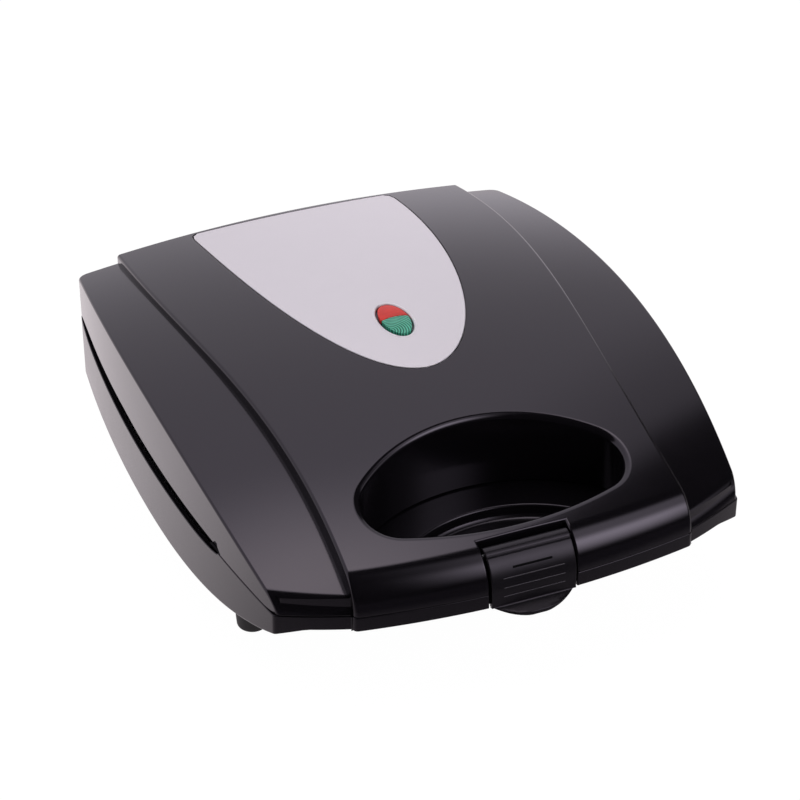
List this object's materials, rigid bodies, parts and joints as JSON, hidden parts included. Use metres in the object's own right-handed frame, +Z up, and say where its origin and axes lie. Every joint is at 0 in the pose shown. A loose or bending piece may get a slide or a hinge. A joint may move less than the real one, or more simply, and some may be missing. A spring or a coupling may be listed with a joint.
{
  "type": "sandwich toaster",
  "caption": "Countertop sandwich toaster: a bowed black base and hinged lid, each with a pocketed hot plate, a grip opening through the lid and a clip that holds it shut.",
  "frame": {"origin": "centre of the footprint, on the surface that the feet stand on", "axes": "+X to the right seen from the front, -Y towards the handle, +Y towards the hinge, +Z up"},
  "size_m": [0.288, 0.37, 0.107],
  "materials": {
    "base_plastic": "moulded black, slightly satin",
    "lid_plastic": "moulded black, polished",
    "clip_plastic": "moulded black, satin",
    "coated_plate": "cast aluminium with a dark non-stick coat",
    "rod_sheath": "oxidised steel sheath",
    "ceramic_bead": "unglazed ceramic",
    "sheet_steel": "bright sheet",
    "screw_steel": "plated",
    "switch_body": "plated can",
    "fuse_body": "plain",
    "wire_sleeve": "braided sleeve",
    "gland_rubber": "moulded",
    "pin_steel": "ground",
    "foot_rubber": "moulded",
    "tag_brass": "stamped",
    "trim_silver": "fine satin silver",
    "lens_red": "clear moulded red",
    "lens_green": "ribbed moulded green",
    "inner_plastic": "moulded",
    "lamp_glass": "clear bulb"
  },
  "bodies": {
    "base": {"lower_housing": "base_plastic", "lower_heating_plate": "coated_plate", "lower_heating_element": "rod_sheath", "lower_element_beads": "ceramic_bead", "lower_element_clips": "sheet_steel", "lower_reflector": "sheet_steel", "lower_plate_screws": "screw_steel", "lower_cutout": "switch_body", "terminal_block": "ceramic_bead", "lower_wiring": "wire_sleeve", "cord_gland": "gland_rubber", "hinge_pins": "pin_steel", "front_feet": "foot_rubber", "rear_feet": "foot_rubber", "earth_tag": "tag_brass"},
    "lid": {"upper_housing": "lid_plastic", "handle_cover": "base_plastic", "handle_cover_screws": "screw_steel", "upper_heating_plate": "coated_plate", "upper_heating_element": "rod_sheath", "upper_element_beads": "ceramic_bead", "upper_element_clips": "sheet_steel", "upper_reflector": "sheet_steel", "upper_plate_screws": "screw_steel", "thermostat": "switch_body", "thermal_fuse": "fuse_body", "upper_wiring": "wire_sleeve", "trim_plate": "trim_silver", "lens_red": "lens_red", "lens_green": "lens_green", "lamp_holder": "inner_plastic", "neon_lamps": "lamp_glass", "clip_pin": "pin_steel"},
    "clip": {"latch_clip": "clip_plastic"}
  },
  "joints": [
    {"name": "lid_hinge", "type": "hinge", "parent": "base", "child": "lid", "pos_m": [0, 0.18, 0.05], "axis": [-1, 0, 0], "range_deg": [0, 100]},
    {"name": "clip_hinge", "type": "hinge", "parent": "lid", "child": "clip", "pos_m": [0, -0.16562, 0.06805], "axis": [-1, 0, 0], "range_deg": [0, 60]}
  ]
}
